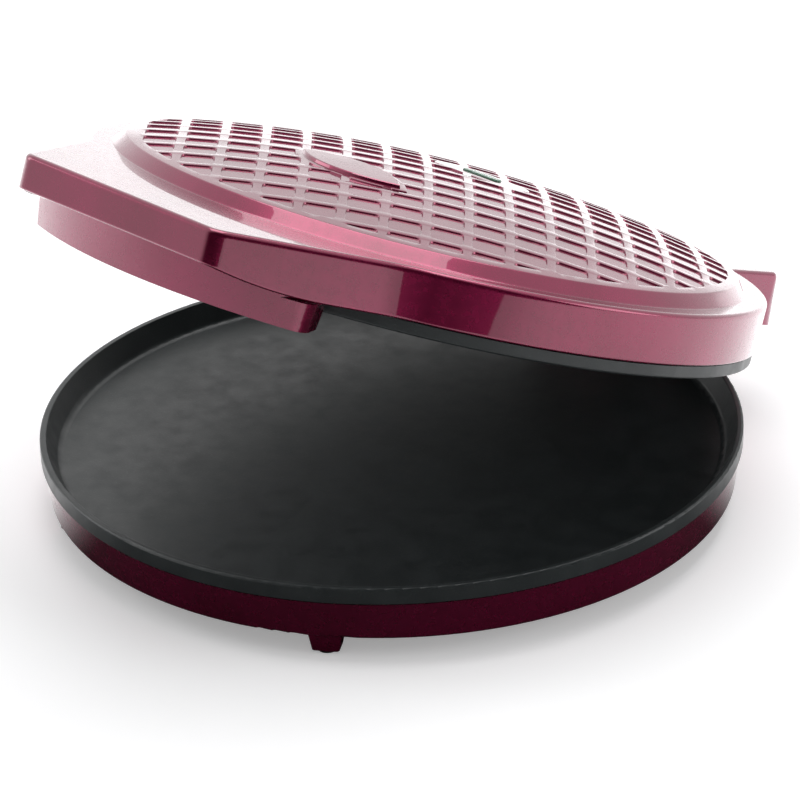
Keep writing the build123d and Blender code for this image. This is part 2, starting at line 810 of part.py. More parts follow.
with BuildPart() as lid_casing:
    with BuildSketch(Plane.XY.offset(lid_edge_low)):
        add(lid_outline(0))
    extrude(amount=shoulder_height - lid_edge_low)
    add(rear_block(0, block_low, shoulder_height))
    add(post(0, 0, lid_radius, block_low, lid_edge_low), mode=Mode.SUBTRACT)
    fillet(lid_casing.faces().sort_by(Axis.Z)[-1].outer_wire().edges(), shoulder_round)
    add(dome_solid(0))
    with BuildSketch(Plane.XY.offset(block_low)):
        add(lid_outline(lid_wall))
    extrude(amount=roof_under - block_low, mode=Mode.SUBTRACT)
    add(rear_block(lid_wall, block_low, roof_under), mode=Mode.SUBTRACT)
    add(dome_solid(lid_wall), mode=Mode.SUBTRACT)
    with BuildSketch(Plane.YZ.offset(-lid_radius)):
        with BuildLine():
            straight = Line((-lid_radius / 2, lid_edge_low), (handle_ramp, lid_edge_low))
            ramp = JernArc(straight @ 1, (-1, 0), ramp_radius, -1.1 * ramp_turn)
            Polyline(ramp @ 1, ((ramp @ 1).X, 0), (-lid_radius / 2, 0), straight @ 0)
        make_face()
    extrude(amount=2 * lid_radius, mode=Mode.SUBTRACT)
    for x, y in handle_screws + rear_screws:
        add(post(x, y, boss_dia / 2, upper_seat, shoulder_height - lid_wall / 2))
    for x, y in handle_screws + rear_screws:
        add(post(x, y, screw_dia / 2 + thread_play, upper_seat, boss_hole_top), mode=Mode.SUBTRACT)
    add(slot_post(*collar, collar_low, lamp_roof + lid_wall / 2))
    add(slot_post(flange_length + room, flange_width + room, collar_low, lamp_roof), mode=Mode.SUBTRACT)
    add(slot_post(lamp_length + room, lamp_width + room, collar_low, dome_top), mode=Mode.SUBTRACT)
    add(over_ball(plaque_sketch(0), plaque_proud, dome_edge, dome_top + plaque_proud))
    add(pocket_cut.part, mode=Mode.SUBTRACT)
keep(lid_casing.part, "lid_casing", on_lid=True)

# Lamp
with BuildPart() as lamp_lens:
    with BuildSketch() as lens_face:
        with Locations((0, lamp_centre)):
            SlotOverall(lamp_length, lamp_width)
    add(over_ball(lens_face.sketch, lamp_proud, flange_low, dome_top + lamp_proud))
    fillet(lamp_lens.faces().sort_by(Axis.Z)[-1].edges(), lamp_proud * 0.7)
    add(slot_post(flange_length, flange_width, flange_low, flange_top))
keep(lamp_lens.part, "lamp_lens", on_lid=True)
with BuildPart() as lamp_holder:
    add(slot_post(flange_length, flange_width, collar_low, flange_low))
    add(slot_post(*collar, collar_low - lamp_flange, collar_low))
    add(slot_post(lamp_length - lamp_flange, lamp_width, collar_low, flange_low), mode=Mode.SUBTRACT)
keep(lamp_holder.part, "lamp_holder", on_lid=True)
neon_level = collar_low + neon_dia / 2 + play
with BuildPart() as neon_lamp:
    with BuildSketch(Plane((-neon_length / 2, lamp_centre, neon_level), z_dir=(1, 0, 0))):
        Circle(neon_dia / 2)
    extrude(amount=neon_length)
    fillet(neon_lamp.edges().sort_by(Axis.X)[-1], neon_dia / 4)
keep(neon_lamp.part, "neon_lamp", on_lid=True)

# Handle cover with the skirt that hangs below the handle
cover_front = lid_radius + 2 * cover_gap
cover_half = handle_half + 2 * boss_dia
cover_top = cover_level + cover_wall
skirt_step = lid_edge_low - cover_gap
handle_inside = lid_wall + cover_gap


def skirt_prism(inset):
    """The skirt as a block, its sides flaring upwards, drawn in by inset."""
    half_turn = radians(skirt_half_angle)
    reach = 2 * skirt_radius
    with BuildPart() as prism:
        with BuildSketch(Plane.XY.offset(skirt_low)) as face:
            Circle(skirt_radius)
            Polygon(
                (0, 0),
                (reach * sin(half_turn), -reach * cos(half_turn)),
                (-reach * sin(half_turn), -reach * cos(half_turn)),
                align=None,
                mode=Mode.INTERSECT,
            )
            fillet(face.vertices().filter_by(lambda v: v.Y < -skirt_radius / 2), skirt_corner)
            if inset:
                offset(amount=-inset, mode=Mode.REPLACE)
        extrude(amount=cover_top - skirt_low, taper=-skirt_draft)
    return prism.part


def beside_handle(inset, low):
    """Everything above low that lies beside the room inside the handle, drawn in by inset."""
    with BuildPart() as around:
        with BuildSketch(Plane.XY.offset(low)):
            Circle(2 * skirt_radius)
            add(lid_outline(inset), mode=Mode.SUBTRACT)
        extrude(amount=2 * cover_top - low)
    return around.part


with BuildPart() as skirt_room:
    add(skirt_prism(skirt_wall))
    add(beside_handle(handle_inside + skirt_wall, skirt_step - cover_wall), mode=Mode.SUBTRACT)
with BuildPart() as handle_cover:
    add(skirt_prism(0))
    add(beside_handle(handle_inside, skirt_step), mode=Mode.SUBTRACT)
    add(skirt_room.part, mode=Mode.SUBTRACT)
    add(post(0, 0, skirt_inner, skirt_low, cover_top), mode=Mode.SUBTRACT)
    with BuildSketch(Plane.XY.offset(cover_level)):
        add(lid_outline(handle_inside))
        with Locations((0, -handle_reach)):
            Rectangle(2 * cover_half, handle_reach * 1.6, mode=Mode.INTERSECT)
        Circle(cover_front, mode=Mode.SUBTRACT)
    extrude(amount=cover_wall)
    for x, y in handle_screws:
        add(post(x, y, boss_dia / 2, cover_level, upper_shield))
    for x, y in handle_screws:
        add(post(x, y, screw_hole, cover_level, upper_shield), mode=Mode.SUBTRACT)
        add(post(x, y, screw_head_dia / 2 + cover_gap, cover_level, cover_seat), mode=Mode.SUBTRACT)
keep(handle_cover.part, "handle_cover", on_lid=True)
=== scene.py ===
import json
from bisect import bisect
from collections import Counter
from math import asin, atan2, cos, hypot, pi, radians, sin, sqrt, tan

import bpy
from mathutils import Matrix, Vector
from mathutils.geometry import delaunay_2d_cdt


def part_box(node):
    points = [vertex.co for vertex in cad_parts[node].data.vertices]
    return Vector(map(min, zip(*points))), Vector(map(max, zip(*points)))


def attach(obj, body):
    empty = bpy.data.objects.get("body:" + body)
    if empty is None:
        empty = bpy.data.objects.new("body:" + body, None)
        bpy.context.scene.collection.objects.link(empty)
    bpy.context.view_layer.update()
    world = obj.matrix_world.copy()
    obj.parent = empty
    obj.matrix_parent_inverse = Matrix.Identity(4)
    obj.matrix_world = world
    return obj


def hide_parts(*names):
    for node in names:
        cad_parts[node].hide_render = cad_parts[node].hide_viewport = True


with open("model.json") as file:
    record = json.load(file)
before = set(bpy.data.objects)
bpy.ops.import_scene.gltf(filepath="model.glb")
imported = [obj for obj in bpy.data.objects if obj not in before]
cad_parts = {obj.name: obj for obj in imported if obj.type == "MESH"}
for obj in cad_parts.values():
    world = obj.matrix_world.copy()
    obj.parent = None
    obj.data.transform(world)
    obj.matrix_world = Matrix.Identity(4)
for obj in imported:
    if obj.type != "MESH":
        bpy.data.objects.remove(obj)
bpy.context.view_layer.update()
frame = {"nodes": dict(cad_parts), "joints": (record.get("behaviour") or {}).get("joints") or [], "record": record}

nodes = frame["nodes"]
MM = 0.001

# The frame's own landmarks: the middle of the lower plate on the level of its rim, and the hinge
plate_low, plate_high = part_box("lower_plate")
pan_centre = Vector(((plate_low.x + plate_high.x) / 2, (plate_low.y + plate_high.y) / 2, plate_high.z))
hinge = Vector(frame["joints"][0]["pos_m"])
rest_turn = radians(frame["joints"][0]["range_deg"][0])

# Colours, as linear values
CRIMSON = (0.22, 0.003, 0.048)
CRIMSON_DEEP = (0.17, 0.002, 0.034)
COATING = (0.020, 0.024, 0.025)
RUBBER = (0.012, 0.012, 0.013)
STEEL = (0.56, 0.55, 0.54)
TUBE = (0.16, 0.12, 0.09)
PALE = (0.72, 0.70, 0.64)
ALUMINIUM = (0.70, 0.70, 0.70)
LAMP_GREEN = (0.22, 0.55, 0.36)
LAMP_CLEAR_GLASS = (0.95, 0.80, 0.70)
LAMP_SMOKE = (0.95, 0.75, 0.60)
LAMP_HAZE = (0.90, 0.85, 0.80)
FLOOR_WHITE = (0.92, 0.92, 0.93)
BLACK = (0.0, 0.0, 0.0)

MIX_FACTOR, MIX_FIRST, MIX_SECOND, MIX_COLOUR = 0, 6, 7, 2  # sockets of a Mix node set to colours


def shade(colour, share):
    """A colour made darker or lighter by a share, up to white."""
    return tuple(min(1, share * part) for part in colour)


def tree_of(material):
    """A material's node tree, emptied but for its output."""
    tree = material.node_tree
    tree.nodes.clear()
    output = tree.nodes.new("ShaderNodeOutputMaterial")
    return tree, output


def add_node(tree, kind, **values):
    """A new node in a tree, with some of its settings."""
    made = tree.nodes.new(kind)
    for key, value in values.items():
        setattr(made, key, value)
    return made


def map_range(tree, value, limits, **values):
    """value taken from one range to another; limits are both ranges, as four numbers."""
    spread = add_node(tree, "ShaderNodeMapRange", **values)
    for socket, number in zip(("From Min", "From Max", "To Min", "To Max"), limits):
        spread.inputs[socket].default_value = number
    tree.links.new(value, spread.inputs["Value"])
    return spread.outputs[0]


class Paint:
    """One procedural material: a Principled shader and the nodes that feed it."""

    def __init__(self, name, colour, roughness, **sockets):
        """Makes the shader; sockets are its other inputs, with _ for a space."""
        self.material = bpy.data.materials.new(name)
        self.material.use_nodes = True
        self.tree, output = tree_of(self.material)
        self.shader = self.node("ShaderNodeBsdfPrincipled")
        self.link(self.shader.outputs[0], output.inputs["Surface"])
        self.shader.inputs["Base Color"].default_value = (*colour, 1)
        self.shader.inputs["Roughness"].default_value = roughness
        for socket, value in sockets.items():
            self.shader.inputs[socket.replace("_", " ")].default_value = value
        self.place = self.node("ShaderNodeTexCoord").outputs["Object"]

    def node(self, kind, **values):
        """A new node with some of its settings."""
        return add_node(self.tree, kind, **values)

    def link(self, start, end):
        """Joins two sockets."""
        self.tree.links.new(start, end)

    def noise(self, size, detail=2.0, stretch=None):
        """Noise with features of about one size, in metres; stretch gives other sizes along X, Y and Z."""
        texture = self.node("ShaderNodeTexNoise")
        texture.inputs["Detail"].default_value = detail
        texture.inputs["Scale"].default_value = 1.0
        scaled = self.node("ShaderNodeMapping")
        sizes = stretch or (size, size, size)
        scaled.inputs["Scale"].default_value = [1 / s for s in sizes]
        self.link(self.place, scaled.inputs["Vector"])
        self.link(scaled.outputs[0], texture.inputs["Vector"])
        return texture.outputs["Fac"]

    def ramp(self, value, low, high, start=0.0, end=1.0):
        """value taken from low..high to start..end."""
        return map_range(self.tree, value, (low, high, start, end))

    def mix(self, share, first, second):
        """A colour between two colours or sockets, by share."""
        blend = self.node("ShaderNodeMix", data_type="RGBA")
        self.link(share, blend.inputs[MIX_FACTOR])
        for socket, colour in ((MIX_FIRST, first), (MIX_SECOND, second)):
            if isinstance(colour, tuple):
                blend.inputs[socket].default_value = (*colour, 1)
            else:
                self.link(colour, blend.inputs[socket])
        return blend.outputs[MIX_COLOUR]

    def bump(self, value, height, sockets=("Normal",)):
        """Raises the surface by value times height, in metres."""
        raised = self.node("ShaderNodeBump")
        raised.inputs["Distance"].default_value = height
        self.link(value, raised.inputs["Height"])
        for socket in sockets:
            self.link(raised.outputs[0], self.shader.inputs[socket])

    def colour(self, output):
        """Gives the surface its colour."""
        self.link(output, self.shader.inputs["Base Color"])

    def rough(self, output):
        """Gives the surface its roughness."""
        self.link(output, self.shader.inputs["Roughness"])


def gloss_casing(name, colour, deep):
    """Deep red moulded plastic under a clear gloss, a little uneven and with the finest scuffs."""
    paint = Paint(name, colour, 0.25, Metallic=0.75, Coat_Weight=1.0, Coat_Roughness=0.03, Coat_IOR=1.55)
    cloud = paint.ramp(paint.noise(0.05, 3.0), 0.35, 0.65)
    paint.colour(paint.mix(cloud, deep, colour))
    paint.rough(paint.ramp(paint.noise(0.004, 4.0), 0.3, 0.7, 0.22, 0.3))
    paint.bump(paint.noise(0.01, 1.0), 0.000003, ("Normal", "Coat Normal"))
    return paint.material


def coated_plate(name):
    """Dark non-stick coating: a fine sprayed grain, paler in soft random patches."""
    paint = Paint(name, COATING, 0.4, IOR=1.5)
    grain = paint.noise(0.0007, 3.0)
    speck = paint.ramp(grain, 0.62, 0.72)
    base = paint.mix(speck, COATING, shade(COATING, 2.2))
    pale_patches = paint.ramp(paint.noise(0.02, 4.0), 0.45, 0.75, 0.0, 0.35)
    paint.colour(paint.mix(pale_patches, base, shade(COATING, 1.7)))
    paint.rough(paint.ramp(paint.noise(0.01, 3.0), 0.3, 0.7, 0.32, 0.46))
    paint.bump(grain, 0.00004)
    return paint.material


def metal(name, colour, roughness, grain):
    """Bare metal with rolling marks of the given length across it."""
    paint = Paint(name, colour, roughness, Metallic=1.0)
    marks = paint.noise(grain, 3.0, (grain * 12, grain, grain))
    paint.colour(paint.mix(marks, shade(colour, 0.75), colour))
    paint.rough(paint.ramp(marks, 0.3, 0.7, roughness * 0.8, roughness * 1.25))
    paint.bump(marks, 0.00001)
    return paint.material


def matte(name, colour, roughness, grain, height):
    """Plain moulded or woven stuff with an even grain."""
    paint = Paint(name, colour, roughness)
    pattern = paint.noise(grain, 3.0)
    paint.colour(paint.mix(pattern, shade(colour, 0.8), shade(colour, 1.15)))
    paint.bump(pattern, height)
    return paint.material


finishes = {
    "casing_plastic": gloss_casing("casing_red", CRIMSON, CRIMSON_DEEP),
    "cover_plastic": gloss_casing("cover_red", CRIMSON, CRIMSON_DEEP),
    "plate_coating": coated_plate("lower_coating"),
    "upper_coating": coated_plate("upper_coating"),
    "pad_rubber": matte("pad_rubber", RUBBER, 0.7, 0.0006, 0.00006),
    "bush_rubber": matte("bush_rubber", RUBBER, 0.5, 0.0008, 0.00004),
    "tube_steel": metal("tube_steel", TUBE, 0.45, 0.001),
    "sheet_steel": metal("sheet_steel", STEEL, 0.3, 0.002),
    "strap_steel": metal("strap_steel", STEEL, 0.35, 0.001),
    "screw_steel": metal("screw_steel", STEEL, 0.3, 0.0006),
    "rivet_aluminium": metal("rivet_aluminium", ALUMINIUM, 0.4, 0.0008),
    "pin_steel": metal("pin_steel", STEEL, 0.2, 0.0006),
    "sensor_steel": metal("sensor_steel", STEEL, 0.4, 0.0008),
    "fuse_sleeve": matte("fuse_sleeve", PALE, 0.8, 0.0008, 0.0001),
    "block_plastic": matte("block_plastic", PALE, 0.5, 0.0008, 0.00003),
    "wire_cover": matte("wire_cover", PALE, 0.5, 0.001, 0.00003),
    "holder_plastic": matte("holder_plastic", PALE, 0.5, 0.0008, 0.00003),
}


def clear_green():
    """The lamp's lens: clear green plastic, ribbed inside along its length."""
    paint = Paint("lens_green", LAMP_GREEN, 0.08, Transmission_Weight=0.6, IOR=1.49)
    ribs = paint.node("ShaderNodeTexWave", bands_direction="X")
    ribs.inputs["Scale"].default_value = 1 / (1.5 * MM)
    paint.link(paint.place, ribs.inputs["Vector"])
    paint.colour(paint.mix(ribs.outputs["Fac"], LAMP_GREEN, shade(LAMP_GREEN, 0.55)))
    paint.bump(ribs.outputs["Fac"], 0.00008)
    return paint.material


def lamp_glass():
    """The small lamp: clear glass, a little smoky with age."""
    paint = Paint("neon_glass", LAMP_CLEAR_GLASS, 0.05, Transmission_Weight=0.8, IOR=1.5)
    paint.colour(paint.mix(paint.noise(0.004), LAMP_SMOKE, LAMP_HAZE))
    return paint.material


finishes["lens_plastic"] = clear_green()
finishes["lamp_glass"] = lamp_glass()

for part in frame["record"]["subparts"]:
    shown = nodes[part["node"]]
    shown.data.materials.clear()
    shown.data.materials.append(finishes[part["material_slot"]])


# The lid's shell, measured with the lid shut from the middle of the lower plate, in millimetres
LID_RADIUS = 158.6
LID_WALL = 2.4
WALL_LOW = 6.5
BLOCK_LOW = 3.4
SHOULDER = 29.4
SHOULDER_ROUND = 2.2
LOW_ROUND = 0.7
HANDLE_REACH = 200.0
HANDLE_HALF = 60.5
HANDLE_CORNER = 9.0
HANDLE_FLARE = radians(28.0)
HANDLE_NECK = 70.0
LIP_LOW = 14.2
RAMP_START = 150.0  # how far forward the lower edge starts to rise
BLOCK_HALF = 68.0
BLOCK_TOP_BACK = 180.0
BLOCK_LOW_BACK = 183.8
BLOCK_ROUND = 4.0
BLOCK_NOOK = 1.5  # rounding where the block meets the round wall
DOME_MIDDLE = 0.0  # the dome's middle, behind that of the round wall
DOME_RADIUS = 143.3
DOME_FOOT = 148.0
DOME_EDGE = 35.2
DOME_RISE = 15.2
DOME_ROUND = 1.6
FOOT_MARGIN = 0.8  # level ring kept around the dome's foot
FOOT_CREASE = 0.12  # level ring right at the foot, which keeps the crease sharp
SIDE_SHARES = (0.03, 0.12, 0.3, 0.6)  # how far up the dome's side it has a ring
FIELD_EDGE = 141.2  # where the patterned sheet meets the rings around it
POCKET_FIELD = 138.0
POCKET_PITCH = 18.62
POCKET_SIDE = 14.8
POCKET_CORNER = 2.2
POCKET_TURN = radians(43.6)
POCKET_SHIFT = (3.2, 10.8)
POCKET_FALL = ((0.3, 0.0), (0.0, -0.1), (-0.35, -0.8))  # distance outside a pocket's edge, height
POCKET_LEAST = 1.0  # a pocket is kept if its part in the field, times its side, is above this
POCKET_PROBES = 10
FIELD_MARGIN = 1.5
PLAQUE_MIDDLE = -60.0
PLAQUE_HALF = 31.0
PLAQUE_RISE = 12.5
PLAQUE_CLEAR = 3.0
PLAQUE_STEP = ((0.0, 0.0), (-0.35, 1.2), (-0.9, 1.5))  # distance outside the plaque's edge, height
LAMP_MIDDLE = 29.0
LAMP_SLOT = (22.1, 7.6)
LAMP_CLEAR = (52.0, 24.0)
ARC_STEP = 15  # degrees between the rings of a rounded edge
RING_STEP = 0.5  # degrees between the points of a ring
RING_LEAST = radians(0.04)
EDGE_STEPS = 6
INNER_CIRCLES = (120, 90, 60)
SHARP_EDGE = radians(25)
BALL = (DOME_RADIUS**2 + DOME_RISE**2) / (2 * DOME_RISE)
BALL_MIDDLE = DOME_EDGE + DOME_RISE - BALL
PLAQUE_ARC = (PLAQUE_HALF**2 + PLAQUE_RISE**2) / (2 * PLAQUE_RISE)
RAMP_RUN = HANDLE_REACH - RAMP_START
RAMP_RADIUS = (RAMP_RUN**2 + (LIP_LOW - WALL_LOW) ** 2) / (2 * (LIP_LOW - WALL_LOW))
LID_TURN = Matrix.Rotation(rest_turn, 3, "X")
CORNER, ROUND_WALL, NOOK, BLOCK_CORNER = 1, 3, 4, 5  # arcs of the outline, in their order


def at_rest(point):
    """A point of the shut lid, in the row frame with the lid in its rest pose."""
    shut = pan_centre + Vector(point) * MM
    return hinge + LID_TURN @ (shut - hinge)


def arc(centre, radius, start, end, count=24):
    """Points along an arc between two angles."""
    angles = [start + (end - start) * i / count for i in range(count + 1)]
    return [(centre[0] + radius * cos(a), centre[1] + radius * sin(a)) for a in angles]


def half_outline(inset, back):
    """The lid's right-hand outline from above as arcs from the handle to the rear, drawn in by inset."""
    side = HANDLE_HALF * cos(HANDLE_FLARE) + HANDLE_REACH * sin(HANDLE_FLARE)
    corner_y = HANDLE_CORNER - HANDLE_REACH
    corner = ((side - HANDLE_CORNER + corner_y * sin(HANDLE_FLARE)) / cos(HANDLE_FLARE), corner_y)
    out = side + HANDLE_NECK
    along = sqrt((LID_RADIUS + HANDLE_NECK) ** 2 - out**2)
    neck = (
        out * cos(HANDLE_FLARE) - along * sin(HANDLE_FLARE),
        -out * sin(HANDLE_FLARE) - along * cos(HANDLE_FLARE),
    )
    neck_angle = atan2(neck[1], neck[0])
    nook_x = BLOCK_HALF + BLOCK_NOOK
    nook = (nook_x, sqrt((LID_RADIUS + BLOCK_NOOK) ** 2 - nook_x**2))
    nook_angle = atan2(nook[1], nook[0])
    return [
        [(0, inset - HANDLE_REACH)],
        arc(corner, HANDLE_CORNER - inset, -pi / 2, -HANDLE_FLARE, 10),
        arc(neck, HANDLE_NECK + inset, pi - HANDLE_FLARE, pi + neck_angle),
        arc((0, 0), LID_RADIUS - inset, neck_angle, nook_angle, 2),
        arc(nook, BLOCK_NOOK + inset, pi + nook_angle, pi, 4),
        arc((BLOCK_HALF - BLOCK_ROUND, back - BLOCK_ROUND), BLOCK_ROUND - inset, 0, pi / 2, 6),
        [(0, back - inset)],
    ]


def polar(point):
    """The direction in which a point lies from the middle."""
    return atan2(point[1], point[0])


def outline_angles():
    """The directions in which every ring of the lid has a point, closer together at the corners."""
    parts = half_outline(0, BLOCK_TOP_BACK)
    tight = [polar(p) for k in (CORNER, NOOK, BLOCK_CORNER) for p in parts[k]]
    even = [radians(-90 + RING_STEP * i) for i in range(int(180 / RING_STEP) + 1)]
    right = sorted(even + tight)
    kept = [right[0]]
    for angle in right[1:]:
        if angle - kept[-1] > RING_LEAST:
            kept.append(angle)
    return kept + [pi - a for a in reversed(kept[1:-1])]


ANGLES = outline_angles()


def outline_ring(inset, height):
    """One ring of the lid's wall: the outline drawn in by inset, at height(x, y) for each point."""
    lean = (BLOCK_LOW_BACK - BLOCK_TOP_BACK) / (SHOULDER - BLOCK_LOW)
    ring = []
    back = BLOCK_TOP_BACK + lean * (SHOULDER - height(0, BLOCK_TOP_BACK))
    parts = half_outline(inset, back)
    round_start, round_end = polar(parts[ROUND_WALL][0]), polar(parts[ROUND_WALL][-1])
    line = [p for k, part in enumerate(parts) for p in part if k != ROUND_WALL]
    turns = [polar(p) for p in line]
    for angle in ANGLES:
        folded = angle if angle <= pi / 2 else pi - angle
        if round_start <= folded <= round_end:
            reach = LID_RADIUS - inset
        else:
            i = min(max(bisect(turns, folded), 1), len(line) - 1)
            (ax, ay), (bx, by) = line[i - 1], line[i]
            reach = (ax * by - ay * bx) / (cos(folded) * (by - ay) - sin(folded) * (bx - ax))
        x, y = reach * cos(angle), reach * sin(angle)
        ring.append((x, y, height(x, y)))
    return ring


def round_ring(radius, height):
    """One ring of the dome, around its own middle but in the same directions as the wall's points."""
    ring = []
    for angle in ANGLES:
        across = DOME_MIDDLE * cos(angle)
        reach = DOME_MIDDLE * sin(angle) + sqrt(radius**2 - across**2)
        ring.append((reach * cos(angle), reach * sin(angle), height))
    return ring


def wall_low(x, y):
    """Height of the wall's lower edge: level, rising under the handle, deeper at the rear block."""
    if y < -RAMP_START:
        run = min(-y - RAMP_START, RAMP_RUN)
        return WALL_LOW + RAMP_RADIUS - sqrt(RAMP_RADIUS**2 - run**2)
    beyond = hypot(x, y) > LID_RADIUS - 2.0 * LID_WALL and abs(x) < BLOCK_HALF + BLOCK_NOOK / 2
    return BLOCK_LOW if beyond and y > 0 else WALL_LOW


def ball_level(x, y, sink=0.0):
    """Height of the dome's top, or of the same ball drawn in by sink."""
    return BALL_MIDDLE + sqrt((BALL - sink) ** 2 - x**2 - (y - DOME_MIDDLE) ** 2)


def slot_gap(x, y, size):
    """Distance outside a slot around the lamp."""
    straight = (size[0] - size[1]) / 2
    return hypot(max(abs(x) - straight, 0), y - LAMP_MIDDLE) - size[1] / 2


def plaque_gap(x, y):
    """Distance outside the lens-shaped plaque."""
    offset = PLAQUE_ARC - PLAQUE_RISE
    return max(hypot(x, y - PLAQUE_MIDDLE - s * offset) for s in (1, -1)) - PLAQUE_ARC


def pattern_axes(x, y):
    """A point along the pattern's own axes."""
    along = x * cos(POCKET_TURN) + y * sin(POCKET_TURN) - POCKET_SHIFT[0]
    across = y * cos(POCKET_TURN) - x * sin(POCKET_TURN) - POCKET_SHIFT[1]
    return along, across


def from_pattern(along, across):
    """The point that lies at a place along the pattern's own axes."""
    u, v = along + POCKET_SHIFT[0], across + POCKET_SHIFT[1]
    return u * cos(POCKET_TURN) - v * sin(POCKET_TURN), u * sin(POCKET_TURN) + v * cos(POCKET_TURN)


def pattern_limit(x, y):
    """Distance outside the field in which pockets lie."""
    field = hypot(x, y - DOME_MIDDLE) - POCKET_FIELD
    return max(field, PLAQUE_CLEAR - plaque_gap(x, y), -slot_gap(x, y, LAMP_CLEAR))


def square_gap(along, across):
    """Distance outside a rounded square around the origin."""
    flat = POCKET_SIDE / 2 - POCKET_CORNER
    a, b = abs(along) - flat, abs(across) - flat
    return hypot(max(a, 0), max(b, 0)) + min(max(a, b), 0) - POCKET_CORNER


def find_pockets():
    """The pockets with enough of their square inside the field, by their place in the grid."""
    count = int(POCKET_FIELD / POCKET_PITCH) + 2
    probes = [POCKET_SIDE * (i / POCKET_PROBES - 0.45) for i in range(POCKET_PROBES)]
    kept = set()
    for i in range(-count, count + 1):
        for j in range(-count, count + 1):
            inside = 0
            for a in probes:
                for b in probes:
                    point = from_pattern(i * POCKET_PITCH + a, j * POCKET_PITCH + b)
                    inside += pattern_limit(*point) < 0
            if inside / len(probes) ** 2 * POCKET_SIDE > POCKET_LEAST:
                kept.add((i, j))
    return kept


POCKETS = find_pockets()


def pocket_gap(x, y):
    """Distance outside the nearest pocket."""
    along, across = pattern_axes(x, y)
    i, j = round(along / POCKET_PITCH), round(across / POCKET_PITCH)
    if (i, j) not in POCKETS:
        return POCKET_PITCH
    return max(square_gap(along - i * POCKET_PITCH, across - j * POCKET_PITCH), pattern_limit(x, y))


def along_steps(gap, steps):
    """Height read from (distance, height) steps that go inwards."""
    if gap >= steps[0][0]:
        return steps[0][1]
    for (near, high), (far, low) in zip(steps, steps[1:]):
        if gap >= far:
            return low + (high - low) * (gap - far) / (near - far)
    return steps[-1][1]


def under_level(x, y):
    """Height of the dome's inner skin."""
    return ball_level(x, y, LID_WALL)


def dome_level(x, y):
    """Height of the patterned sheet with its pockets and its plaque."""
    dents = along_steps(pocket_gap(x, y), POCKET_FALL)
    return ball_level(x, y) + dents + along_steps(plaque_gap(x, y), PLAQUE_STEP)


def pocket_loop(i, j, grow):
    """The outline of one pocket, grown by a distance."""
    flat = POCKET_SIDE / 2 - POCKET_CORNER
    points = []
    for k, (a, b) in enumerate(((1, 1), (-1, 1), (-1, -1), (1, -1))):
        centre = (i * POCKET_PITCH + a * flat, j * POCKET_PITCH + b * flat)
        points += arc(centre, POCKET_CORNER + grow, k * pi / 2, (k + 1) * pi / 2, 4)
    return [from_pattern(*p) for p in points]


def plaque_loop(grow):
    """The outline of the plaque, grown by a distance."""
    radius = PLAQUE_ARC + grow
    offset = PLAQUE_ARC - PLAQUE_RISE
    tip = asin(offset / radius)
    low = arc((0, PLAQUE_MIDDLE + offset), radius, pi + tip, 2 * pi - tip, 40)
    high = arc((0, PLAQUE_MIDDLE - offset), radius, tip, pi - tip, 40)
    return low[:-1] + high[:-1]


def inside_field(loop):
    """The edges of a loop, cut off where they leave the field of pockets."""
    limit = POCKET_FIELD + FIELD_MARGIN
    edges = []
    for a, b in zip(loop, loop[1:] + loop[:1]):
        near, far = sorted((a, b), key=lambda p: hypot(*p))
        if hypot(*near) > limit:
            continue
        if hypot(*far) > limit:
            step = Vector(far) - Vector(near)
            lean = Vector(near).dot(step) / step.length_squared
            rest = (limit**2 - Vector(near).length_squared) / step.length_squared
            far = tuple(Vector(near) + step * (sqrt(lean**2 + rest) - lean))
        edges.append([near, far])
    return edges


def slot_loop(size, grow=0.0):
    """The outline of a slot around the lamp."""
    straight, end = (size[0] - size[1]) / 2, size[1] / 2 + grow
    right = arc((straight, LAMP_MIDDLE), end, -pi / 2, pi / 2, 16)
    left = arc((-straight, LAMP_MIDDLE), end, pi / 2, 3 * pi / 2, 16)
    return right + left


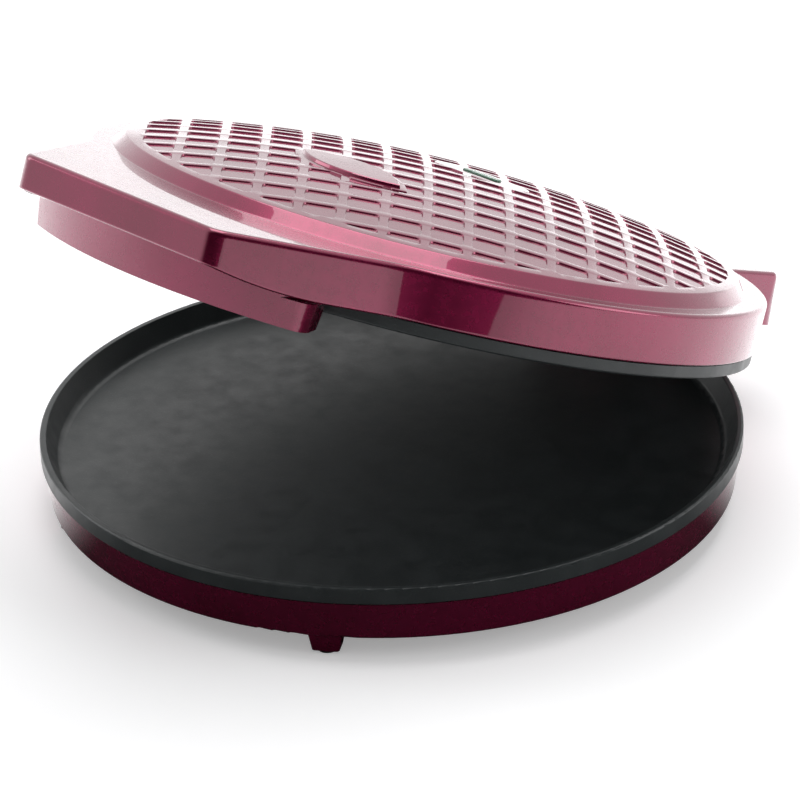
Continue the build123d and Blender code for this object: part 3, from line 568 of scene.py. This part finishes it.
class Shell:
    """Collects the points and faces of one closed mesh."""

    def __init__(self):
        """Starts without points."""
        self.points = []
        self.faces = []

    def ring(self, points):
        """Keeps a ring of points and gives back their places."""
        start = len(self.points)
        self.points += points
        return list(range(start, len(self.points)))

    def band(self, first, second):
        """Faces between two rings of as many points."""
        for i, a in enumerate(first):
            k = (i + 1) % len(first)
            self.faces.append((a, first[k], second[k], second[i]))

    def sheet(self, outer, loops, level, hole, upward):
        """A sheet inside an outer ring, creased along the loops; gives back the points around its hole."""
        flat = [Vector(self.points[i][:2]) for i in outer]
        all_loops = [flat] + [[Vector(p) for p in loop] for loop in loops + [hole]]
        corners, edges = [], []
        for loop in all_loops:
            start = len(corners)
            corners += loop
            edges += [(start + i, start + (i + 1) % len(loop)) for i in range(len(loop))]
        spots, _, triangles, sources, _, _ = delaunay_2d_cdt(corners, edges, [], 0, 1e-6)
        index = []
        for spot, source in zip(spots, sources):
            rim = [k for k in source if k < len(outer)]
            if rim:
                index.append(outer[rim[0]])
            else:
                index.append(len(self.points))
                self.points.append((spot.x, spot.y, level(spot.x, spot.y)))
        uses = Counter()
        for triangle in triangles:
            middle = sum((spots[k] for k in triangle), Vector((0, 0))) / len(triangle)
            if slot_gap(middle.x, middle.y, LAMP_SLOT) > 0:
                face = [index[k] for k in triangle]
                self.faces.append(face if upward else face[::-1])
                uses.update(frozenset(pair) for pair in zip(face, face[1:] + face[:1]))
        rim = {k for pair, count in uses.items() if count == 1 for k in pair} - set(outer)
        return sorted(rim, key=lambda k: atan2(self.points[k][1] - LAMP_MIDDLE, self.points[k][0]))

    def build(self, name, sharp):
        """The object, smooth but for the edges above the angle sharp."""
        mesh = bpy.data.meshes.new(name)
        mesh.from_pydata([at_rest(p) for p in self.points], [], self.faces)
        mesh.validate()
        mesh.shade_smooth()
        mesh.set_sharp_from_angle(angle=sharp)
        made = bpy.data.objects.new(name, mesh)
        bpy.context.scene.collection.objects.link(made)
        return made


def build_lid():
    """The lid's casing as one closed mesh: inner skin, lower edge, wall, shoulder and patterned dome."""
    shell = Shell()
    quarter = [radians(ARC_STEP * i) for i in range(int(90 / ARC_STEP) + 1)]
    roof = SHOULDER - LID_WALL
    profile = [
        (LID_WALL, lambda x, y: roof),
        (LID_WALL, wall_low),
        (LOW_ROUND, wall_low),
    ]
    for turn in quarter[1:]:
        inset, rise = LOW_ROUND * (1 - sin(turn)), LOW_ROUND * (1 - cos(turn))
        profile.append((inset, lambda x, y, rise=rise: wall_low(x, y) + rise))
    profile.append((0.0, lambda x, y: wall_low(x, y) + 2 * LOW_ROUND))
    profile.append((0.0, lambda x, y: SHOULDER - SHOULDER_ROUND - LOW_ROUND))
    for turn in quarter:
        inset, rise = SHOULDER_ROUND * (1 - cos(turn)), SHOULDER_ROUND * (sin(turn) - 1)
        profile.append((inset, lambda x, y, rise=rise: SHOULDER + rise))
    profile.append((SHOULDER_ROUND + LOW_ROUND, lambda x, y: SHOULDER))
    rings = [shell.ring(outline_ring(inset, height)) for inset, height in profile]

    lean = atan2(DOME_EDGE - SHOULDER, DOME_FOOT - DOME_RADIUS)
    rings.append(shell.ring(round_ring(DOME_FOOT + FOOT_MARGIN, SHOULDER)))
    rings.append(shell.ring(round_ring(DOME_FOOT + FOOT_CREASE, SHOULDER)))
    for share in SIDE_SHARES:
        radius = DOME_FOOT - share * (DOME_FOOT - DOME_RADIUS)
        rings.append(shell.ring(round_ring(radius, SHOULDER + share * (DOME_EDGE - SHOULDER))))
    slope_in = atan2(DOME_RADIUS, BALL - DOME_RISE)
    bend = lean - slope_in
    reach = DOME_ROUND * tan(bend / 2)
    start = (DOME_RADIUS + reach * cos(lean), DOME_EDGE - reach * sin(lean))
    middle = (start[0] - DOME_ROUND * sin(lean), start[1] - DOME_ROUND * cos(lean))
    for i in range(EDGE_STEPS + 1):
        turn = pi / 2 - lean + bend * i / EDGE_STEPS
        radius = middle[0] + DOME_ROUND * cos(turn)
        rings.append(shell.ring(round_ring(radius, middle[1] + DOME_ROUND * sin(turn))))
    edge_level = ball_level(0, DOME_MIDDLE + FIELD_EDGE)
    rings.append(shell.ring(round_ring(FIELD_EDGE, edge_level)))
    for first, second in zip(rings, rings[1:]):
        shell.band(first, second)

    loops = [slot_loop(LAMP_CLEAR, -grow) for grow, _ in POCKET_FALL]
    loops += [plaque_loop(PLAQUE_CLEAR - grow) for grow, _ in POCKET_FALL]
    loops += [plaque_loop(grow) for grow, _ in PLAQUE_STEP]
    loops += [arc((0, DOME_MIDDLE), POCKET_FIELD + grow, 0, 2 * pi, 300)[:-1] for grow, _ in POCKET_FALL]
    for i, j in sorted(POCKETS):
        for grow, _ in POCKET_FALL:
            loops += inside_field(pocket_loop(i, j, grow))
    top_slot = shell.sheet(rings[-1], loops, dome_level, slot_loop(LAMP_SLOT), True)
    inner_radius = DOME_RADIUS - LID_WALL
    inner = [
        shell.ring(round_ring(DOME_FOOT - LID_WALL, roof)),
        shell.ring(round_ring(inner_radius, ball_level(0, DOME_MIDDLE + inner_radius, LID_WALL))),
    ]
    shell.band(inner[0], rings[0])
    shell.band(inner[1], inner[0])
    circles = [arc((0, DOME_MIDDLE), radius, 0, 2 * pi, 72)[:-1] for radius in INNER_CIRCLES]
    slot = [shell.points[k][:2] for k in top_slot]
    low_slot = shell.sheet(inner[1], circles, under_level, slot, False)
    shell.band(top_slot, low_slot)
    return shell.build("lid_shell", SHARP_EDGE)


lid_shell = build_lid()
lid_shell.data.materials.append(finishes["casing_plastic"])
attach(lid_shell, "lid")
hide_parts("lid_casing")


# Floor, world, lights and camera
FLOOR_LIFT = 0.30  # how much lighter the camera sees the floor
FLOOR_SIZE = 14.0
GLOSS_LIFT = 0.75  # how much lighter gloss sees it, but for a painted dark reflection spot before the object
# Painted reflection: a dark spot on the floor that only gloss sees, with its middle, reach and depth
PAINTED_REFLECTION_MIDDLE = (0.214, -0.210, 0)
PAINTED_REFLECTION_REACH = (0.27, 0.38)  # where the painted dark reflection starts to fade, and where it has faded
PAINTED_REFLECTION_SHARE = 0.95


def floor_material():
    """White paper; the camera sees it lighter, and gloss sees it lighter but for one painted dark reflection spot
    before the object.
    """
    paper = bpy.data.materials.new("paper_white")
    paper.use_nodes = True
    tree, output = tree_of(paper)
    link = tree.links.new
    rays = add_node(tree, "ShaderNodeLightPath")
    place = add_node(tree, "ShaderNodeTexCoord")
    away = add_node(tree, "ShaderNodeVectorMath", operation="DISTANCE")
    away.inputs[1].default_value = PAINTED_REFLECTION_MIDDLE
    link(place.outputs["Object"], away.inputs[0])
    distance = away.outputs["Value"]
    # Painted dark reflection: near the spot gloss sees the floor black and without its lift
    painted_dark_reflection = map_range(tree, distance, (*PAINTED_REFLECTION_REACH, PAINTED_REFLECTION_SHARE, 0.0), interpolation_type="SMOOTHSTEP")
    shine = map_range(tree, distance, (*PAINTED_REFLECTION_REACH, 0.0, GLOSS_LIFT), interpolation_type="SMOOTHSTEP")

    gloss = add_node(tree, "ShaderNodeMath", operation="MULTIPLY")
    link(painted_dark_reflection, gloss.inputs[0])
    link(rays.outputs["Is Glossy Ray"], gloss.inputs[1])
    colour = add_node(tree, "ShaderNodeMix", data_type="RGBA")
    colour.inputs[MIX_FIRST].default_value = (*FLOOR_WHITE, 1)
    colour.inputs[MIX_SECOND].default_value = (*BLACK, 1)
    link(gloss.outputs[0], colour.inputs[MIX_FACTOR])
    diffuse = add_node(tree, "ShaderNodeBsdfDiffuse")
    link(colour.outputs[MIX_COLOUR], diffuse.inputs["Color"])

    lift = add_node(tree, "ShaderNodeMath", operation="MULTIPLY")
    lift.inputs[1].default_value = FLOOR_LIFT
    link(rays.outputs["Is Camera Ray"], lift.inputs[0])
    seen = add_node(tree, "ShaderNodeMath", operation="MULTIPLY_ADD")
    link(shine, seen.inputs[0])
    link(rays.outputs["Is Glossy Ray"], seen.inputs[1])
    link(lift.outputs[0], seen.inputs[2])
    glow = add_node(tree, "ShaderNodeEmission")
    link(seen.outputs[0], glow.inputs["Strength"])

    both = add_node(tree, "ShaderNodeAddShader")
    link(diffuse.outputs[0], both.inputs[0])
    link(glow.outputs[0], both.inputs[1])
    link(both.outputs[0], output.inputs["Surface"])
    return paper


bpy.ops.mesh.primitive_plane_add(size=FLOOR_SIZE, location=(0, 0, 0))
floor = bpy.context.object
floor.name = "floor"
floor.data.materials.append(floor_material())

# The camera that took the photograph, found from the ellipses of the two rims
FRAME_PX = 800
FOCAL_PX = 4412.93
AXIS_PX = 398.0  # how far down the frame the lens points
AZIMUTH = radians(45.4825)
ELEVATION = radians(26.5794)
ROLL = radians(-1.47233)
DISTANCE = 2034.70 * MM
AIM_RIGHT = 4.2437 * MM
AIM_UP = 9.4377 * MM
SENSOR = 36.0

backward = Vector((sin(AZIMUTH) * cos(ELEVATION), -cos(AZIMUTH) * cos(ELEVATION), sin(ELEVATION)))
rightward = Vector((cos(AZIMUTH), sin(AZIMUTH), 0))
upward = backward.cross(rightward)
aim = pan_centre + rightward * AIM_RIGHT + upward * AIM_UP
rolled_right = cos(ROLL) * rightward + sin(ROLL) * upward
rolled_up = cos(ROLL) * upward - sin(ROLL) * rightward
camera_data = bpy.data.cameras.new("camera")
camera_data.sensor_width = SENSOR
camera_data.lens = FOCAL_PX / FRAME_PX * SENSOR
camera_data.shift_y = (AXIS_PX - FRAME_PX / 2) / FRAME_PX
camera = bpy.data.objects.new("camera", camera_data)
turn = Matrix((rolled_right, rolled_up, backward)).transposed().to_4x4()
camera.matrix_world = Matrix.Translation(aim + backward * DISTANCE) @ turn
bpy.context.scene.collection.objects.link(camera)
bpy.context.scene.camera = camera

WORLD_FILL = 0.42  # what soft light the room itself gives
BRIGHT_END = 1.35  # what gloss sees of the room behind the object
DARK_END = 0.02  # what gloss sees of the room behind the camera
WORLD_FADE = (0.05, 0.6)  # where between them the room darkens, 1 being towards the camera


def light_world():
    """White to the camera; gloss sees the white end of the room behind and its dark end in front."""
    world = bpy.data.worlds.new("studio")
    bpy.context.scene.world = world
    world.use_nodes = True
    tree = world.node_tree
    tree.nodes.clear()
    link = tree.links.new
    output = add_node(tree, "ShaderNodeOutputWorld")
    rays = add_node(tree, "ShaderNodeLightPath")
    place = add_node(tree, "ShaderNodeTexCoord")
    facing = add_node(tree, "ShaderNodeVectorMath", operation="DOT_PRODUCT")
    facing.inputs[1].default_value = Vector((backward.x, backward.y, 0)).normalized()
    link(place.outputs["Generated"], facing.inputs[0])
    ends = (*WORLD_FADE, BRIGHT_END, DARK_END)
    fade = map_range(tree, facing.outputs["Value"], ends, interpolation_type="SMOOTHSTEP")

    room = add_node(tree, "ShaderNodeBackground")
    room.inputs["Strength"].default_value = WORLD_FILL
    end = add_node(tree, "ShaderNodeBackground")
    link(fade, end.inputs["Strength"])
    white = add_node(tree, "ShaderNodeBackground")
    gloss = add_node(tree, "ShaderNodeMixShader")
    link(rays.outputs["Is Glossy Ray"], gloss.inputs["Fac"])
    link(room.outputs[0], gloss.inputs[1])
    link(end.outputs[0], gloss.inputs[2])

    either = add_node(tree, "ShaderNodeMath", operation="MAXIMUM")
    link(rays.outputs["Is Camera Ray"], either.inputs[0])
    link(rays.outputs["Is Transmission Ray"], either.inputs[1])
    seen = add_node(tree, "ShaderNodeMixShader")
    link(either.outputs[0], seen.inputs["Fac"])
    link(gloss.outputs[0], seen.inputs[1])
    link(white.outputs[0], seen.inputs[2])
    link(seen.outputs[0], output.inputs["Surface"])


def softbox(name, place, size, watts, aim_at=Vector((0, 0, 0.1))):
    """A large lamp that looks at the object."""
    data = bpy.data.lights.new(name, "AREA")
    data.shape = "RECTANGLE"
    data.size, data.size_y = size
    data.energy = watts
    lamp = bpy.data.objects.new(name, data)
    lamp.location = place
    lamp.rotation_euler = (Vector(place) - aim_at).to_track_quat("Z", "Y").to_euler()
    bpy.context.scene.collection.objects.link(lamp)
    return lamp


light_world()
softbox("key_top", (-0.3, 0.5, 2.2), (1.8, 1.8), 34)
softbox("side_right", (2.0, 1.1, 0.9), (1.4, 1.2), 14)
softbox("side_left", (-2.0, -0.9, 1.0), (0.9, 1.2), 9)

bpy.context.scene.view_settings.view_transform = "Standard"
